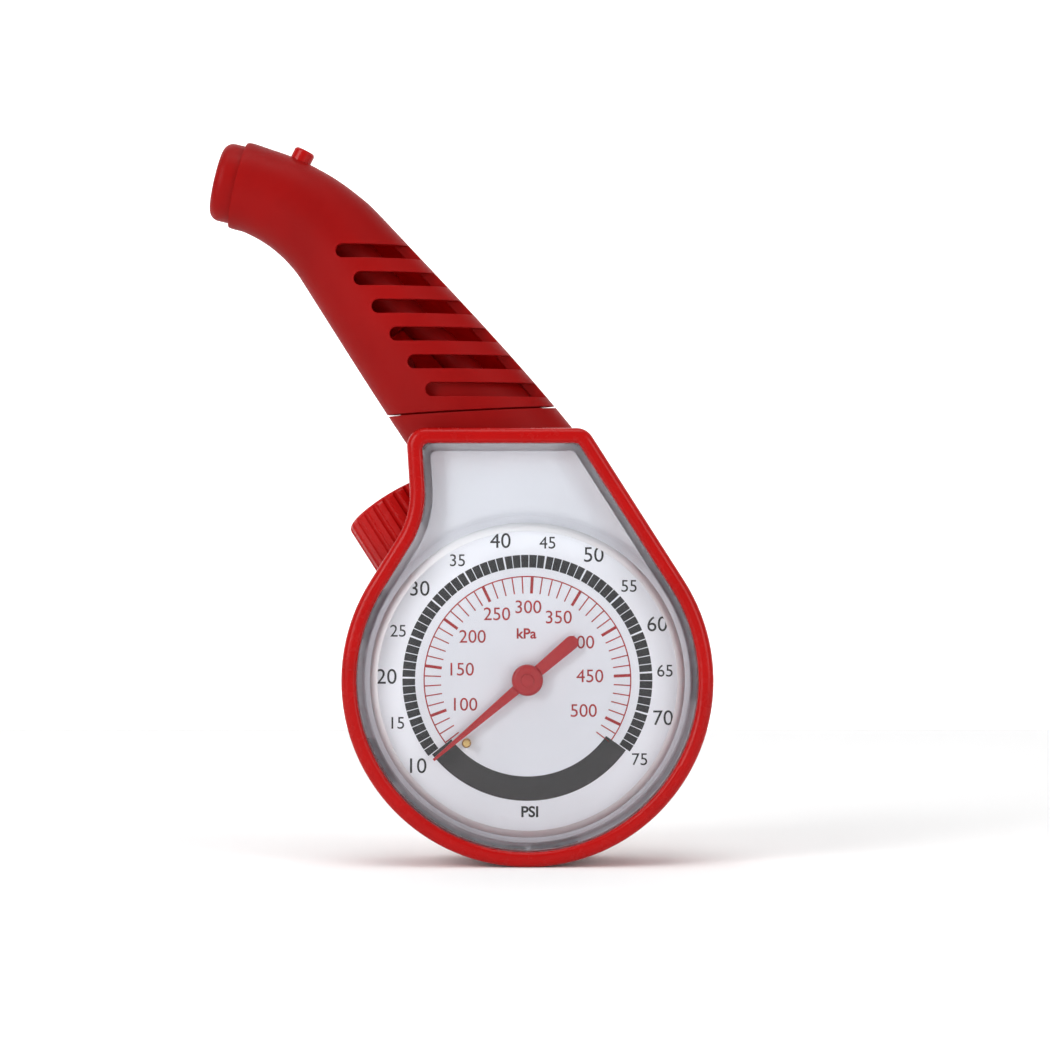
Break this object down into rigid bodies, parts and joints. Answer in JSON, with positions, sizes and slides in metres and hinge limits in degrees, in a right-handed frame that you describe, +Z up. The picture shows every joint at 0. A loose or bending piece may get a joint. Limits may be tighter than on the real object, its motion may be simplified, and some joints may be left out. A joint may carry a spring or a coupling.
{
  "type": "dial tyre pressure gauge",
  "caption": "Red hand-held dial tyre gauge with an angled slotted grip, a chuck nozzle, a release button and a fluted bleed wheel.",
  "frame": {"origin": "centre of the case's flat back face, on the pointer's axis", "axes": "+Z up the dial, +X to the reader's right, -Y out of the dial"},
  "size_m": [0.0843, 0.024, 0.1209],
  "materials": {
    "gloss_red": "gloss",
    "satin_red": "satin",
    "clear": "gloss",
    "dial_white": "satin",
    "pointer_red": "gloss",
    "brass": "satin",
    "steel": "satin",
    "rubber": "matte"
  },
  "bodies": {
    "root": {"front_bezel": "gloss_red", "lens": "clear", "dial_plate": "dial_white", "stop_pin": "brass", "rear_case": "satin_red", "handle_front_shell": "satin_red", "handle_rear_shell": "satin_red", "handle_screws": "steel", "socket_screws": "steel", "nozzle": "satin_red", "valve_seal": "rubber", "chuck_body": "brass", "core_depressor": "brass", "button_spring": "steel", "button_seal": "rubber", "wheel_seal": "rubber", "air_pipe": "satin_red", "chuck_hose": "rubber", "bourdon_socket": "brass", "bourdon_tube": "brass", "tube_end_piece": "brass", "hairspring": "steel", "movement_rear_plate": "brass", "movement_front_plate": "brass", "movement_pillars": "brass", "movement_screws": "steel"},
    "button": {"release_button": "gloss_red"},
    "wheel": {"bleed_wheel": "gloss_red", "wheel_spindle": "brass"},
    "needle": {"pointer": "pointer_red", "pinion_spindle": "brass"},
    "sector": {"sector_gear": "brass"},
    "link_bar": {"link": "brass"}
  },
  "joints": [
    {"name": "button_press", "type": "slide", "parent": "root", "child": "button", "axis": [-0.4477, 0, -0.8942], "range_m": [0, 0.0012], "stiffness_N_per_m": 400, "springref_m": -0.0005},
    {"name": "wheel_turn", "type": "hinge", "parent": "root", "child": "wheel", "pos_m": [-0.02077, -0.009, 0.02533], "axis": [0.535, -0.1564, -0.8302], "range_deg": [0, 180]},
    {"name": "sector_swing", "type": "hinge", "parent": "root", "child": "sector", "pos_m": [-0.00556, -0.0095, -0.00963], "axis": [0, 1, 0], "range_deg": [-25.59, 0]},
    {"name": "needle_turn", "type": "hinge", "parent": "root", "child": "needle", "pos_m": [0, -0.0148, 0], "axis": [0, 1, 0], "range_deg": [0, 255.9]},
    {"name": "link_swing", "type": "hinge", "parent": "sector", "child": "link_bar", "pos_m": [-0.00465, -0.0106, -0.01353], "axis": [0, 1, 0], "range_deg": [0, 25.59]}
  ],
  "couplings": [
    {"joint": "needle_turn", "follows": "sector_swing", "ratio": -10},
    {"joint": "link_swing", "follows": "sector_swing", "ratio": -1}
  ]
}
